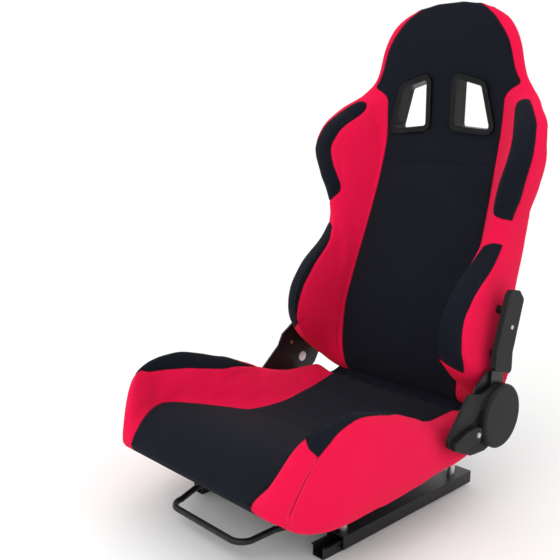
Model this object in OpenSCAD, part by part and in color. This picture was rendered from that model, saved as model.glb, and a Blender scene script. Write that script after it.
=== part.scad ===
// Reclining bucket seat on floor slider rails.
// Millimetres. +X is the side with the recline lever, front faces -Y, +Z is up.
// Z = 0 is the underside of the floor rails; the origin is the centre of the floor bolt pattern.

/* [Display] */
// Piece to show

/* [Rails] */
// Distance from the middle plane to each rail's centre line
rail_x = 158; // [140:1:175]
// Length of every rail profile
rail_len = 372; // [340:1:400]
// How far the seat is slid back in the drawn pose
seat_offset = 41; // [0:1:60]
// Slider travel each way from the middle position
slide_half = 80; // [50:1:100]
// Width of the lower channel
lower_w = 24; // [20:1:28]
// Sheet thickness of the lower channel
lower_t = 2; // [1.5:0.1:3]
// Height of the lower channel's ball track
lower_h = 20; // [16:1:24]
// Width of the upper channel
upper_w = 38; // [34:1:44]
// Sheet thickness of the upper channel
upper_t = 2; // [1.5:0.1:3]
// Underside of the upper channel's inward lips
lip_z = 5; // [4:0.5:7]
// Gap between the track flange and the upper channel's wall
track_gap = 1.5; // [1:0.1:2]
// Diameter of the track balls
ball_d = 6; // [5:0.5:7]
// Running gap over and under each ball
ball_gap = 0.12; // [0.08:0.01:0.2]
// Balls along each side of a cage
ball_n = 6; // [4:1:8]
// Length of a ball cage
cage_len = 240; // [200:1:260]
// Thickness of a ball cage
cage_t = 1.6; // [1:0.1:2]
// Distance between the two floor bolt holes of one rail
floor_hole_pitch = 300; // [260:1:330]
// Diameter of a floor bolt hole
floor_hole_d = 9; // [8:0.5:11]

/* [Slide lock] */
// Height of the toothed lock strip's wall
comb_h = 14; // [12:1:16]
// Thickness of the lock strip
comb_t = 2; // [1.5:0.5:3]
// Spacing of the lock notches
notch_pitch = 10; // [8:1:14]
// Width of a lock notch
notch_w = 5.6; // [5:0.1:7]
// Depth of a lock notch
notch_h = 7; // [5:1:9]
// Distance from the rail's centre line to the far face of the lock strip
comb_out = 27; // [25:1:30]
// Gap between the released lock teeth and the strip
lock_gap = 0.6; // [0.4:0.1:1]
// Distance from the towel bar's hinge to its lock teeth
lock_arm = 80; // [70:1:90]

/* [Towel bar] */
// Diameter of the towel bar's rod
bar_d = 11; // [9:1:13]
// Half of the bar's straight front part, to the bend centre
bar_front_x = 79; // [60:1:95]
// Front face position of the bar's centre line
bar_front_y = -298; // [-310:1:-285]
// Height of the bar's front part
bar_front_z = 39; // [36:1:45]
// Height of the bar's hinge
bar_hinge_z = 13; // [12:1:16]
// Diameter of the hinge pin
bar_pin_d = 8; // [6:1:10]
// Thickness of the flattened end of the bar
bar_eye_t = 4; // [3:0.5:6]

/* [Seat frame] */
// Diameter of the frame tube
tube_d = 20; // [18:1:25]
// Half width of the frame ring, to the tube centre
ring_x = 196; // [180:1:202]
// Front tube of the ring
ring_front = -258; // [-265:1:-240]
// Rear tube of the ring
ring_rear = 156; // [146:1:160]
// Height of the ring's tube centre
ring_z = 98; // [94:1:104]
// Bend radius of the ring's corners
ring_r = 40; // [30:1:60]
// Width of the flat cross bars
bar_w = 32; // [26:1:40]
// Thickness of the flat cross bars
bar_t = 4; // [3:0.5:6]
// Front rail bolt position
bolt_front_y = -126; // [-140:1:-100]
// Rear rail bolt position
bolt_rear_y = 186; // [176:1:190]
// Diameter of the rail bolts
bolt_d = 8; // [6:1:10]
// Outside diameter of the spacers over the rails
spacer_d = 16; // [14:1:20]
// Wire diameter of the suspension springs
wire_d = 3.2; // [2.5:0.1:4]
// Number of suspension springs in the squab
wire_n = 5; // [3:1:6]

/* [Recliner] */
// Hinge position along Y
hinge_y = 177; // [170:1:190]
// Hinge height
hinge_z = 179; // [172:1:190]
// Inner face of the lower recliner plates
plate_x = 241.5; // [240:0.5:246]
// Thickness of the recliner plates and arms
plate_t = 4; // [3:0.5:5]
// Running gap between a plate and its arm
plate_gap = 1.5; // [0.5:0.1:2]
// Diameter of the hinge pin
hinge_d = 14; // [10:1:18]
// Radial clearance of the hinge pin in the arm
hinge_clear = 0.1; // [0.05:0.01:0.2]
// Radius of the toothed sector's root
sector_r = 36; // [32:1:40]
// Tooth height of the sector
sector_tooth = 5; // [4:0.5:6]
// Angle between sector teeth
sector_pitch = 6; // [5:1:8]
// Thickness of the moulded covers
cover_t = 2.5; // [2:0.5:4]
// Outer radius of the round hinge cover
bulge_r = 59; // [55:1:64]
// Outer face of the round hinge cover
bulge_x = 268; // [264:1:272]
// Turns of the return spring
spiral_turns = 3; // [2:0.5:4]
// Thickness of the return spring's strip
spiral_t = 1.6; // [1:0.1:2]
// Lever hinge along Y
lever_y = 99; // [94:1:106]
// Lever hinge height
lever_z = 165; // [160:1:170]
// Diameter of the lever's pin
lever_pin_d = 10; // [8:1:12]

/* [Backrest] */
// Top of the head section
back_top = 930; // [900:1:950]
// Bottom of the backrest cushion
back_bottom = 155; // [150:1:160]
// Wall of the harness guides
guide_t = 3; // [2:0.5:4]
// Rim width of the harness guides
rim_w = 11; // [8:1:14]
// Corner radius of the harness guides
guide_r = 6; // [4:1:10]
// How far the rims of the harness guides stand out of the cover
guide_proud = 3; // [1:0.5:5]
// Farthest forward tilt of the backrest from the drawn pose
tilt_front = 12; // [0:1:14]
// Farthest recline from the drawn pose
tilt_rear = 45; // [20:1:48]

/* [Hidden] */
$fn = 48;
black_paint = [0.05, 0.05, 0.055];
zinc = [0.75, 0.75, 0.72];
plastic = [0.11, 0.115, 0.12];
cloth_red = [0.85, 0.06, 0.18];
cloth_black = [0.06, 0.065, 0.08];
ball_z = lower_h + ball_gap + ball_d / 2;
rail_top = lower_h + ball_d + 2 * ball_gap + upper_t;
flange_half = upper_w / 2 - upper_t - track_gap;
lip_in = lower_w / 2 + 1.2;
cage_y = seat_offset / 2;
pin_x = rail_x - comb_out - 6;
hinge_bar_y = seat_offset + lock_arm;
ring_bottom = ring_z - tube_d / 2;
arm_x = plate_x + plate_t + plate_gap;
cover_x = arm_x + plate_t + 1;
wire_z = ring_z + tube_d / 2 + wire_d / 2 + 0.1;
foot_a = [78, 142];
foot_b = [118, 128];
clip = [66, 160];
stop_r = 50;
stop_d = 8;
arm_half = 20;
hinge = [hinge_y, hinge_z];
lever_at = [lever_y, lever_z];
arm_knee = [178, 256];
arm_tip = [206, 376];
arm_screw = [197, 340];
arm_a = [182, 290];
arm_b = [204, 366];
boss_d = 16;

// ---- general helpers ----
module yz(x0, t) {
    translate([x0, 0, 0])
        rotate([90, 0, 90])
            linear_extrude(t)
                children();
}

function unit(v) = v / norm(v);
function polar(c, r, a) = c + r * [cos(a), sin(a)];
function arc(c, r, a0, a1, n) = [for (i = [0 : n]) polar(c, r, a0 + (a1 - a0) * i / n)];
// round-ended bar outline from p to q
function capsule(p, q, r) = let (a = atan2(q[1] - p[1], q[0] - p[0]))
    concat(arc(p, r, a + 90, a + 270, 12), arc(q, r, a - 90, a + 90, 12));
// outline with each corner rounded to radius r
function filleted(pts, r) = [for (i = [0 : len(pts) - 1])
    let (n = len(pts), p = pts[i], u = unit(pts[(i + n - 1) % n] - p), v = unit(pts[(i + 1) % n] - p),
        h = acos(min(1, max(-1, u * v))) / 2, c = p + unit(u + v) * r / sin(h),
        s = p + u * r / tan(h) - c, e = p + v * r / tan(h) - c, k = 180 - 2 * h)
        for (j = [0 : 6]) c + (s * sin(k * (6 - j) / 6) + e * sin(k * j / 6)) / sin(k)];
// counter-clockwise outline moved outwards by g
function grown(pts, g) = [for (i = [0 : len(pts) - 1])
    let (n = len(pts), d = unit(pts[i] - pts[(i + n - 1) % n]), f = unit(pts[(i + 1) % n] - pts[i]),
        a = [d[1], -d[0]], b = [f[1], -f[0]]) pts[i] + (a + b) * g / (1 + a * b)];

module rod(p, q, d) {
    v = q - p;
    l = norm(v);
    translate(p)
        rotate([0, acos(v[2] / l), atan2(v[1], v[0])])
            cylinder(d = d, h = l);
}

module rods(pts, d) {
    for (i = [0 : len(pts) - 2])
        rod(pts[i], pts[i + 1], d);
    for (i = [1 : len(pts) - 2])
        translate(pts[i])
            sphere(d = d + 0.4);
}

module xcyl(x0, x1, y, z, d) {
    translate([x0, y, z])
        rotate([0, 90, 0])
            cylinder(d = d, h = x1 - x0);
}

module to_side(s) {
    if (s > 0)
        children();
    else
        mirror([1, 0, 0])
            children();
}

function mono(d0, d1) = d0 * d1 <= 0 ? 0 : 2 * d0 * d1 / (d0 + d1);

// smooth value of a station list [[place, value], ...] at place t
function seg(s, t, i) = i >= len(s) - 2 || t <= s[i + 1][0] ? i : seg(s, t, i + 1);
function slope(s, i) = (s[i + 1][1] - s[i][1]) / (s[i + 1][0] - s[i][0]);
function tangent(s, i) = i == 0 ? slope(s, 0)
    : i == len(s) - 1 ? slope(s, i - 1) : mono(slope(s, i - 1), slope(s, i));
function herm(a, b, ma, mb, h, u) = (2 * u * u * u - 3 * u * u + 1) * a
    + (u * u * u - 2 * u * u + u) * h * ma
    + (3 * u * u - 2 * u * u * u) * b + (u * u * u - u * u) * h * mb;
function at(s, t) = let (c = min(max(t, s[0][0]), s[len(s) - 1][0]), i = seg(s, c, 0),
    h = s[i + 1][0] - s[i][0])
    herm(s[i][1], s[i + 1][1], tangent(s, i), tangent(s, i + 1), h, (c - s[i][0]) / h);

// ---- soft forms: one half section is swept along stations, then mirrored ----
function ease(t) = t * t * (3 - 2 * t);
// half section: centre, slope up to the bolster, nose, side, rear corner, back
// f centre front, r ridge front, b centre back, s side back, all as depths
function half(x1, xr, w, f, r, b, s, dn, rc, xb) = concat(
    [for (i = [0 : 2]) [x1 * i / 3, f]],
    [for (i = [0 : 4]) let (t = i / 5) [x1 + (xr - x1) * t, f + (r - f) * ease(t)]],
    [for (i = [0 : 4]) let (t = 90 * i / 4) [xr + (w - xr) * sin(t), r + dn * (1 - cos(t))]],
    [for (i = [0 : 2]) let (t = 90 * i / 2) [w - rc * (1 - cos(t)), s - rc + rc * sin(t)]],
    [for (i = [1 : 3]) let (t = i / 4) [w - rc + (xb - w + rc) * t, s + (b - s) * ease(t)]],
    [for (i = [0 : 2]) [xb * (1 - i / 2), b]]);
function mirrored(h) = concat(h, [for (i = [len(h) - 2 : -1 : 1]) [-h[i][0], h[i][1]]]);
function mean(r) = [for (k = [0 : 2]) (min([for (p = r) p[k]]) + max([for (p = r) p[k]])) / 2];
function loft_points(rings) = concat([for (r = rings) for (p = r) p],
    [mean(rings[0]), mean(rings[len(rings) - 1])]);
function turned(f, flip) = flip ? [f[0], f[2], f[1]] : f;
function loft_faces(m, n, flip) = concat(
    [for (i = [0 : n - 2]) for (j = [0 : m - 1]) let (k = (j + 1) % m)
        turned([i * m + j, (i + 1) * m + j, i * m + k], flip)],
    [for (i = [0 : n - 2]) for (j = [0 : m - 1]) let (k = (j + 1) % m)
        turned([i * m + k, (i + 1) * m + j, (i + 1) * m + k], flip)],
    [for (j = [0 : m - 1]) turned([n * m, j, (j + 1) % m], flip)],
    [for (j = [0 : m - 1]) let (q = (n - 1) * m)
        turned([n * m + 1, q + (j + 1) % m, q + j], flip)]);

// backrest stations by height: half width, panel edge, ridge, ridge depth, front, back, side back
back_w = [[150, 170], [176, 214], [203, 229], [250, 237], [300, 232], [380, 226], [485, 221],
    [520, 225], [585, 252], [650, 273], [690, 267], [728, 240], [755, 208], [790, 179],
    [850, 161], [890, 138], [912, 106], [924, 66], [930, 30]];
back_x1 = [[150, 140], [250, 148], [450, 144], [650, 137], [740, 140], [790, 130], [850, 112],
    [900, 70], [930, 12]];
back_xr = [[150, 150], [203, 200], [300, 192], [485, 188], [585, 215], [650, 232], [728, 208],
    [790, 163], [850, 142], [900, 94], [930, 20]];
back_ridge = [[150, 0], [176, 6], [203, 32], [250, 80], [300, 114], [355, 126], [400, 112],
    [458, 68], [490, 60], [551, 76], [585, 90], [640, 101], [678, 88], [728, 42], [755, 9],
    [780, 0], [930, 0]];
back_front = [[150, 214], [217, 202], [300, 208], [386, 234], [485, 270], [600, 306], [680, 322],
    [800, 325], [870, 326], [930, 332]];
back_rear = [[150, 270], [300, 303], [500, 352], [590, 364], [680, 355], [800, 355], [840, 362],
    [880, 366], [930, 354]];
back_side = [[150, 258], [203, 262], [300, 276], [380, 286], [500, 316], [593, 294], [660, 279],
    [720, 295], [755, 330], [800, 352], [870, 354], [930, 344]];
back_nose = [[150, 24], [203, 40], [320, 50], [485, 38], [650, 36], [755, 22], [800, 15], [930, 12]];
top_round = 30;
base_round = 26;

function shrink(t, lo, hi, rl, rh) = t < lo + rl ? sqrt(max(0.002, 1 - pow((lo + rl - t) / rl, 2)))
    : t > hi - rh ? sqrt(max(0.002, 1 - pow((t - hi + rh) / rh, 2))) : 1;
function back_half(z) = let (s = shrink(z, back_bottom, back_top, base_round, top_round),
    w = at(back_w, z), f0 = at(back_front, z), b0 = at(back_rear, z), m = (f0 + b0) / 2,
    f = m + (f0 - m) * s, b = m + (b0 - m) * s, r = f - at(back_ridge, z) * s,
    q = m + (at(back_side, z) - m) * s, rc = min(22, (q - r) * 0.4, w * 0.25))
    half(at(back_x1, z), at(back_xr, z), w, f, r, b, q, min(at(back_nose, z), (q - r - rc) * 0.9),
        rc, min(140, w * 0.7));
back_n = 29;
function back_z(i) = let (v = i / (back_n - 1))
    back_bottom + (back_top - back_bottom) * (0.62 * v + 0.38 * (1 - cos(180 * v)) / 2);
back_rings = [for (i = [0 : back_n - 1]) let (z = back_z(i))
    [for (p = mirrored(back_half(z))) [p[0], p[1], z]]];

// squab stations by Y: half width, panel edge, ridge, centre height, ridge height, underside
squab_front = -332;
squab_rear = 197;
squab_w = [[-332, 206], [-290, 231], [-240, 247], [-130, 252], [-20, 247], [30, 242], [70, 239],
    [130, 236], [194, 222]];
squab_x1 = [[-332, 158], [-290, 176], [-240, 193], [-175, 168], [-123, 146], [-75, 127],
    [0, 125], [90, 141], [194, 156]];
squab_xr = [[-332, 198], [-240, 218], [-60, 214], [100, 205], [194, 192]];
squab_top = [[-332, 168], [-290, 182], [-240, 188], [-190, 181], [-130, 166], [-80, 154],
    [-20, 150], [90, 151], [150, 157], [197, 164]];
squab_ridge = [[-332, 24], [-290, 62], [-240, 76], [-160, 90], [-80, 86], [-20, 66], [30, 44],
    [90, 22], [194, 5]];
squab_base = [[-332, 112], [-290, 96], [-190, 88], [90, 91], [150, 97], [194, 111]];
squab_nose = [[-332, 40], [-200, 54], [90, 44], [194, 30]];
front_round = 60;
rear_round = 17;
function squab_half(y) = let (s = shrink(y, squab_front, squab_rear, front_round, rear_round),
    t0 = at(squab_top, y), u0 = at(squab_base, y), m = (t0 + u0) / 2, t = m + (t0 - m) * s,
    u = m - (m - u0) * s, g = at(squab_ridge, y) * s, dw = (1 - s) * (y < 0 ? 26 : 14),
    w = at(squab_w, y) - dw, rc = min(24, (t - u) * 0.4))
    half(at(squab_x1, y), at(squab_xr, y) - dw, w, -t, -t - g, -u, -u,
        min(at(squab_nose, y), (t - u + g - rc) * 0.9), rc, w * 0.6);
squab_n = 29;
function squab_y(i) = let (v = i / (squab_n - 1))
    squab_front + (squab_rear - squab_front) * (0.5 * v + 0.5 * (1 - cos(180 * v)) / 2);
squab_rings = [for (i = [0 : squab_n - 1]) let (y = squab_y(i))
    [for (p = mirrored(squab_half(y))) [p[0], y, -p[1]]]];

// ---- rails ----
module lower_rail(s) {
    color(black_paint)
        translate([s * rail_x, 0, 0])
            difference() {
                union() {
                    translate([-lower_w / 2, -rail_len / 2, 0])
                        cube([lower_w, rail_len, lower_t]);
                    for (k = [-1, 1]) {
                        translate([k * (lower_w / 2 - lower_t / 2) - lower_t / 2, -rail_len / 2, 0])
                            cube([lower_t, rail_len, lower_h]);
                        translate([k > 0 ? lower_w / 2 - lower_t : -flange_half, -rail_len / 2,
                            lower_h - lower_t])
                            cube([flange_half - lower_w / 2 + lower_t, rail_len, lower_t]);
                    }
                }
                for (k = [-1, 1])
                    translate([0, k * floor_hole_pitch / 2, -1])
                        cylinder(d = floor_hole_d, h = lower_t + 2);
            }
}

module lower_rail_left() {
    lower_rail(-1);
}

module lower_rail_right() {
    lower_rail(1);
}

strip_half = slide_half + 1.5 * notch_pitch + 4;
stop_front = lock_arm - slide_half - bar_w / 2 - 1;
stop_rear = lock_arm + slide_half + bar_w / 2 + 1;
module lock_strip(s) {
    n = floor((strip_half - 4) / notch_pitch);
    color(black_paint)
        to_side(s)
            difference() {
                union() {
                    translate([rail_x - comb_out, -strip_half, 0])
                        cube([comb_out - lower_w / 2, strip_half + stop_rear + 9, comb_t]);
                    translate([rail_x - comb_out, -strip_half, 0])
                        cube([comb_t, 2 * strip_half, comb_h]);
                    for (y = [stop_front - 3, stop_rear])
                        translate([rail_x - upper_w / 2 - 0.7 - comb_t, y, 0])
                            cube([comb_t, 3, rail_top - 4]);
                }
                for (i = [-n : n])
                    translate([rail_x - comb_out - 1, i * notch_pitch - notch_w / 2, comb_h - notch_h])
                        cube([comb_t + 2, notch_w, notch_h + 1]);
            }
}

module lock_strip_left() {
    lock_strip(-1);
}

module lock_strip_right() {
    lock_strip(1);
}

track_x = (lower_w / 2 - lower_t + flange_half) / 2;
module ball_spots() {
    for (k = [-1, 1])
        for (i = [0 : ball_n - 1])
            translate([k * track_x, (i / (ball_n - 1) - 0.5) * (cage_len - 20), ball_z])
                children();
}

module ball_cage(s) {
    color(zinc)
        translate([s * rail_x, cage_y, 0])
            difference() {
                translate([-flange_half, -cage_len / 2, ball_z - cage_t / 2])
                    cube([2 * flange_half, cage_len, cage_t]);
                translate([-track_x + ball_d, -cage_len / 2 + 20, 0])
                    cube([2 * (track_x - ball_d), cage_len - 40, 60]);
                ball_spots()
                    translate([0, 0, -cage_t])
                        cylinder(d = ball_d + 0.2, h = 2 * cage_t);
            }
}

module ball_cage_left() {
    ball_cage(-1);
}

module ball_cage_right() {
    ball_cage(1);
}

module rail_balls(s) {
    color(zinc)
        translate([s * rail_x, cage_y, 0])
            ball_spots()
                sphere(d = ball_d);
}

module rail_balls_left() {
    rail_balls(-1);
}

module rail_balls_right() {
    rail_balls(1);
}

module upper_rail(s) {
    color(black_paint)
        translate([s * rail_x, seat_offset, 0])
            difference() {
                union() {
                    translate([-upper_w / 2, -rail_len / 2, rail_top - upper_t])
                        cube([upper_w, rail_len, upper_t]);
                    for (k = [-1, 1]) {
                        translate([k * (upper_w / 2 - upper_t / 2) - upper_t / 2, -rail_len / 2, lip_z])
                            cube([upper_t, rail_len, rail_top - lip_z]);
                        translate([k > 0 ? lip_in : -upper_w / 2, -rail_len / 2, lip_z])
                            cube([upper_w / 2 - lip_in, rail_len, upper_t]);
                    }
                }
                for (y = [bolt_front_y, bolt_rear_y])
                    translate([0, y - seat_offset, rail_top - upper_t - 1])
                        cylinder(d = bolt_d, h = upper_t + 2);
            }
}

module upper_rail_left() {
    upper_rail(-1);
}

module upper_rail_right() {
    upper_rail(1);
}

// ---- towel bar and its lock ----
module bar_bracket(s) {
    color(black_paint)
        to_side(s)
            difference() {
                union() {
                    translate([pin_x, hinge_bar_y - bar_w / 2, rail_top - 8])
                        cube([rail_x - upper_w / 2 - pin_x, bar_w, 3]);
                    yz(pin_x, 3)
                        union() {
                            translate([hinge_bar_y - bar_w / 2, rail_top - 11])
                                square([bar_w, 6]);
                            polygon(capsule([hinge_bar_y, bar_hinge_z], [hinge_bar_y, rail_top - 13], 8));
                        }
                }
                xcyl(pin_x - 1, pin_x + 4, hinge_bar_y, bar_hinge_z, bar_pin_d);
            }
}

module bar_bracket_left() {
    bar_bracket(-1);
}

module bar_bracket_right() {
    bar_bracket(1);
}

module bar_pin(s) {
    color(zinc)
        to_side(s) {
            xcyl(pin_x - bar_eye_t - 1.2, pin_x + 3, hinge_bar_y, bar_hinge_z, bar_pin_d);
            xcyl(pin_x - bar_eye_t - 3.6, pin_x - bar_eye_t - 1.2, hinge_bar_y, bar_hinge_z,
                bar_pin_d + 5);
        }
}

module bar_pin_left() {
    bar_pin(-1);
}

module bar_pin_right() {
    bar_pin(1);
}

eye_x = pin_x - 0.6 - bar_eye_t;
bar_mid_x = eye_x + bar_eye_t - bar_d / 2 - 0.8;
bar_r = 26;
bar_end = [bar_front_x + bar_r - 10, bar_front_y + bar_r, bar_front_z];
bar_side = [[bar_mid_x, hinge_bar_y - 32, bar_hinge_z + 1], [bar_mid_x, 20, bar_hinge_z + 3],
    [bar_mid_x, -110, 30], [bar_mid_x - 3, -170, 42], [103, -233, 45], bar_end];
module towel_bar() {
    x = bar_end[0] - bar_r;
    color(black_paint)
        difference() {
            union() {
                rod([-x, bar_front_y, bar_front_z], [x, bar_front_y, bar_front_z], bar_d);
                for (s = [-1, 1])
                    to_side(s) {
                        rods(bar_side, bar_d);
                        translate(bar_end)
                            sphere(d = bar_d + 0.4);
                        translate([x, bar_end[1], bar_front_z])
                            rotate(270)
                                rotate_extrude(angle = 90)
                                    translate([bar_r, 0])
                                        circle(d = bar_d);
                        yz(eye_x, bar_eye_t)
                            polygon(capsule([hinge_bar_y - 34, bar_hinge_z + 1],
                                [hinge_bar_y, bar_hinge_z], 8));
                    }
            }
            for (s = [-1, 1])
                to_side(s)
                    xcyl(eye_x - 1, eye_x + bar_eye_t + 1, hinge_bar_y, bar_hinge_z, bar_pin_d + 0.2);
        }
}

module lock_pawl(s) {
    z0 = comb_h + lock_gap;
    color(zinc)
        to_side(s) {
            for (i = [-1 : 1])
                translate([rail_x - comb_out - 3, seat_offset + i * notch_pitch - 2.5, z0])
                    cube([comb_t + 5, 5, 5]);
            translate([eye_x + bar_eye_t / 2, seat_offset - 14, z0 + 4])
                cube([rail_x - comb_out + comb_t + 2 - eye_x - bar_eye_t / 2, 28, 2.4]);
        }
}

module lock_pawl_left() {
    lock_pawl(-1);
}

module lock_pawl_right() {
    lock_pawl(1);
}

// ---- seat frame ----
module at_bolts() {
    for (s = [-1, 1])
        for (y = [bolt_front_y, bolt_rear_y])
            translate([s * rail_x, y, 0])
                children();
}

module rail_spacers() {
    color(zinc)
        at_bolts()
            difference() {
                translate([0, 0, rail_top])
                    cylinder(d = spacer_d, h = ring_bottom - bar_t - rail_top);
                translate([0, 0, rail_top - 1])
                    cylinder(d = bolt_d, h = 100);
            }
}

module rail_bolts() {
    color(zinc)
        at_bolts() {
            translate([0, 0, rail_top - upper_t])
                cylinder(d = bolt_d, h = ring_bottom - rail_top + upper_t + 9);
            translate([0, 0, ring_bottom])
                cylinder(d = 13 / cos(30), h = 6.5, $fn = 6);
        }
}

module corner(x, y, a) {
    translate([x, y, ring_z])
        rotate(a)
            rotate_extrude(angle = 90)
                translate([ring_r, 0])
                    circle(d = tube_d);
}

module squab_frame() {
    x = ring_x - ring_r;
    y0 = ring_front + ring_r;
    y1 = ring_rear - ring_r;
    k = atan2(foot_a[1] - foot_b[1], foot_a[0] - foot_b[0]) - 90;
    color(black_paint)
        difference() {
            union() {
                for (s = [-1, 1])
                    rod([s * ring_x, y0, ring_z], [s * ring_x, y1, ring_z], tube_d);
                rod([-x, ring_front, ring_z], [x, ring_front, ring_z], tube_d);
                rod([-x, ring_rear, ring_z], [x, ring_rear, ring_z], tube_d);
                corner(x, y1, 0);
                corner(-x, y1, 90);
                corner(-x, y0, 180);
                corner(x, y0, 270);
                translate([-ring_x, bolt_front_y - bar_w / 2, ring_bottom - bar_t])
                    cube([2 * ring_x, bar_w, bar_t + 1]);
                translate([-ring_x + ring_r, ring_rear, ring_bottom - bar_t])
                    cube([2 * (ring_x - ring_r), bolt_rear_y + bar_w / 2 - ring_rear, bar_t]);
                translate([-ring_x + ring_r, ring_rear - 12, ring_bottom - bar_t])
                    cube([2 * (ring_x - ring_r), 13, bar_t + 1]);
                for (s = [-1, 1])
                    yz(s * (ring_x + tube_d / 2 - 1) - 2, plate_t)
                        polygon(concat([[foot_a[0] - 13, ring_z], [foot_b[0] + 13, ring_z]],
                            arc(foot_b, 13, 0, k, 6), arc(foot_a, 13, k, 180, 8)));
            }
            at_bolts()
                cylinder(d = bolt_d, h = 200);
            for (p = [foot_a, foot_b])
                for (s = [-1, 1])
                    xcyl(s * ring_x - 20, s * ring_x + 20, p[0], p[1], bolt_d);
        }
}

module sinuous(y0, y1, pitch, w) {
    n = floor((y1 - y0) / pitch);
    r = pitch / 2;
    s0 = (y0 + y1) / 2 - n * pitch / 2;
    s1 = s0 + n * pitch;
    x1 = (n % 2 == 0 ? -1 : 1) * w / 2;
    for (i = [0 : n - 1])
        translate([(i % 2 == 0 ? 1 : -1) * w / 2, s0 + (i + 0.5) * pitch, 0])
            rotate(i % 2 == 0 ? -90 : 90)
                rotate_extrude(angle = 180)
                    translate([r, 0])
                        circle(d = wire_d);
    for (i = [1 : n - 1])
        rod([-w / 2, s0 + i * pitch, 0], [w / 2, s0 + i * pitch, 0], wire_d);
    rod([0, s0, 0], [w / 2, s0, 0], wire_d);
    rod([0, y0, 0], [0, s0, 0], wire_d);
    rod([0, s1, 0], [x1, s1, 0], wire_d);
    rod([0, s1, 0], [0, y1, 0], wire_d);
    for (y = [s0, s1])
        translate([0, y, 0])
            sphere(d = wire_d + 0.2);
}

module squab_springs() {
    color(zinc)
        for (i = [0 : wire_n - 1])
            translate([(i - (wire_n - 1) / 2) * 66, 0, wire_z])
                sinuous(ring_front, ring_rear, 24, 24);
}

pocket_top = wire_z + wire_d / 2 + 0.6;
module squab_cushion() {
    px = ring_x + tube_d / 2 + 1.5;
    color(cloth_red)
        difference() {
            polyhedron(loft_points(squab_rings),
                loft_faces(len(squab_rings[0]), squab_n, false), convexity = 6);
            translate([-px, ring_front - tube_d / 2 - 1.5, 60])
                cube([2 * px, ring_rear - ring_front + tube_d + 3, pocket_top - 60]);
            for (s = [-1, 1])
                translate([s * (ring_x + tube_d / 2 - 1) - 4, foot_a[0] - 15, 60])
                    cube([8, foot_b[0] - foot_a[0] + 30, foot_a[1] + 15 - 60]);
            for (p = [foot_a, foot_b])
                for (s = [-1, 1])
                    to_side(s)
                        xcyl(ring_x - 2, plate_x + 5, p[0], p[1], bolt_d + 1);
        }
}

// ---- recliner ----
// stop pin places: the arm's edge meets a pin at each end of the backrest's travel
function stop_at(tilt, side) = let (a = atan2(arm_knee[1] - hinge_z, arm_knee[0] - hinge_y) + tilt,
    d = asin((arm_half + stop_d / 2 + 0.4) / stop_r), b = a + side * d)
    hinge + stop_r * [cos(b), sin(b)];
stop_a = stop_at(tilt_front, 1);
stop_b = stop_at(-tilt_rear, -1);
module recliner_plate(s) {
    color(black_paint)
        to_side(s)
            difference() {
                yz(plate_x, plate_t)
                    polygon(filleted([foot_a + [-10, -7], foot_a + [4, -12], foot_b + [-6, -12],
                        foot_b + [8, -12], hinge + [14, -43], hinge + [42, -22], stop_b + [10, -7],
                        stop_b + [7, 11], hinge + [26, 44], hinge + [-10, 84], hinge + [-24, 85],
                        hinge + [-60, 62], hinge + [-72, 38], clip + [-12, 12], clip + [-11, -10]], 6));
                for (p = [foot_a, foot_b])
                    xcyl(plate_x - 1, plate_x + plate_t + 1, p[0], p[1], bolt_d);
                for (p = [stop_a, stop_b])
                    xcyl(plate_x - 1, plate_x + plate_t + 1, p[0], p[1], stop_d);
                xcyl(plate_x - 1, plate_x + plate_t + 1, hinge_y, hinge_z, hinge_d);
                if (s > 0) {
                    xcyl(plate_x - 1, plate_x + plate_t + 1, lever_y, lever_z, lever_pin_d + 0.2);
                    xcyl(plate_x - 1, plate_x + plate_t + 1, clip[0], clip[1], 4.4);
                }
            }
}

module recliner_plate_left() {
    recliner_plate(-1);
}

module recliner_plate_right() {
    recliner_plate(1);
}

module plate_bolts() {
    color(zinc)
        for (s = [-1, 1])
            to_side(s)
                for (p = [foot_a, foot_b]) {
                    xcyl(ring_x + 2, plate_x + plate_t, p[0], p[1], bolt_d);
                    translate([plate_x + plate_t, p[0], p[1]])
                        rotate([0, 90, 0])
                            cylinder(d = 13, h = 3.4);
                }
}

module stop_pins() {
    color(zinc)
        for (s = [-1, 1])
            to_side(s)
                for (p = [stop_a, stop_b])
                    xcyl(plate_x, arm_x + plate_t, p[0], p[1], stop_d);
}

module hinge_pin(s) {
    color(zinc)
        to_side(s) {
            xcyl(plate_x, arm_x + plate_t + 0.6, hinge_y, hinge_z, hinge_d);
            xcyl(plate_x - 1.8, plate_x, hinge_y, hinge_z, hinge_d + 8);
            xcyl(arm_x + plate_t + 0.6, arm_x + plate_t + 3, hinge_y, hinge_z, hinge_d + 6);
        }
}

module hinge_pin_left() {
    hinge_pin(-1);
}

module hinge_pin_right() {
    hinge_pin(1);
    color(zinc)
        xcyl(arm_x + plate_t + 3, bulge_x - 4.5, hinge_y, hinge_z, 10);
}

module return_spring() {
    n = spiral_turns * 24;
    r0 = 8.4;
    r1 = 36;
    color(zinc)
        yz(arm_x + plate_t + 3.6, 6)
            polygon(concat(
                [for (i = [0 : n]) let (a = 90 + 360 * spiral_turns * i / n,
                    r = r0 + (r1 - r0) * i / n) hinge + r * [cos(a), sin(a)]],
                [for (i = [n : -1 : 0]) let (a = 90 + 360 * spiral_turns * i / n,
                    r = r0 - spiral_t + (r1 - r0) * i / n) hinge + r * [cos(a), sin(a)]]));
}

function teeth(r0, r1, a0, a1, p) = [for (a = [a0 : p : a1 - p / 2]) each [
    [r0 * cos(a), r0 * sin(a)], [r0 * cos(a + p * 0.2), r0 * sin(a + p * 0.2)],
    [r1 * cos(a + p * 0.4), r1 * sin(a + p * 0.4)], [r1 * cos(a + p * 0.6), r1 * sin(a + p * 0.6)],
    [r0 * cos(a + p * 0.8), r0 * sin(a + p * 0.8)]]];

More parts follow.
